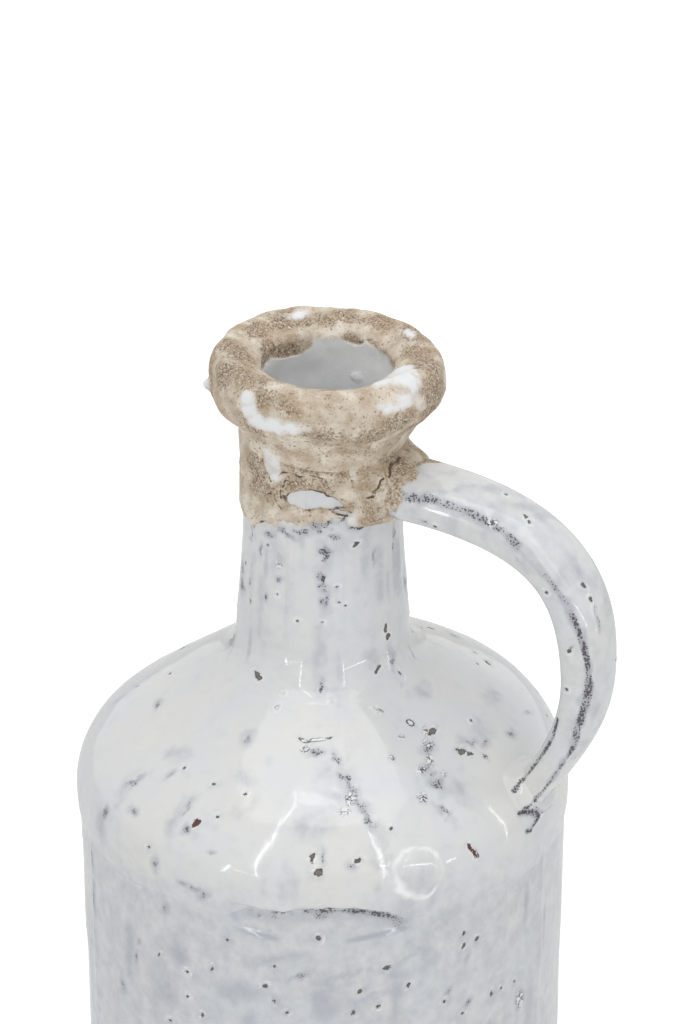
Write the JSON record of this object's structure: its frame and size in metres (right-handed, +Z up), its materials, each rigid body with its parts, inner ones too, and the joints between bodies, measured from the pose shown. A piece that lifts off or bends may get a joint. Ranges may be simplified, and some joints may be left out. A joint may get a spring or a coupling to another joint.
{
  "type": "handled vase",
  "caption": "Hand-built glazed terracotta bottle vase: broad drum body, domed shoulder, narrow neck, thick rolled mouth and a strap handle from neck to shoulder.",
  "frame": {"origin": "centre of the flat foot, on the surface that the vase stands on", "axes": "+Z up along the axis of the body, +X from the axis towards the handle, +Y to the left of the handle as seen from the front"},
  "size_m": [0.2309, 0.2026, 0.3784],
  "materials": {
    "white_glaze": "gloss",
    "gritty_render": "matte",
    "terracotta": "matte"
  },
  "bodies": {
    "root": {"floor_slab": "terracotta", "floor_seam_coil": "terracotta", "body_wall": "white_glaze", "shoulder_dome": "white_glaze", "neck_tube": "white_glaze", "lip_ring": "gritty_render", "neck_render": "gritty_render", "handle_strap": "white_glaze", "handle_root_wad": "gritty_render", "handle_tail_wad": "white_glaze"}
  },
  "joints": []
}
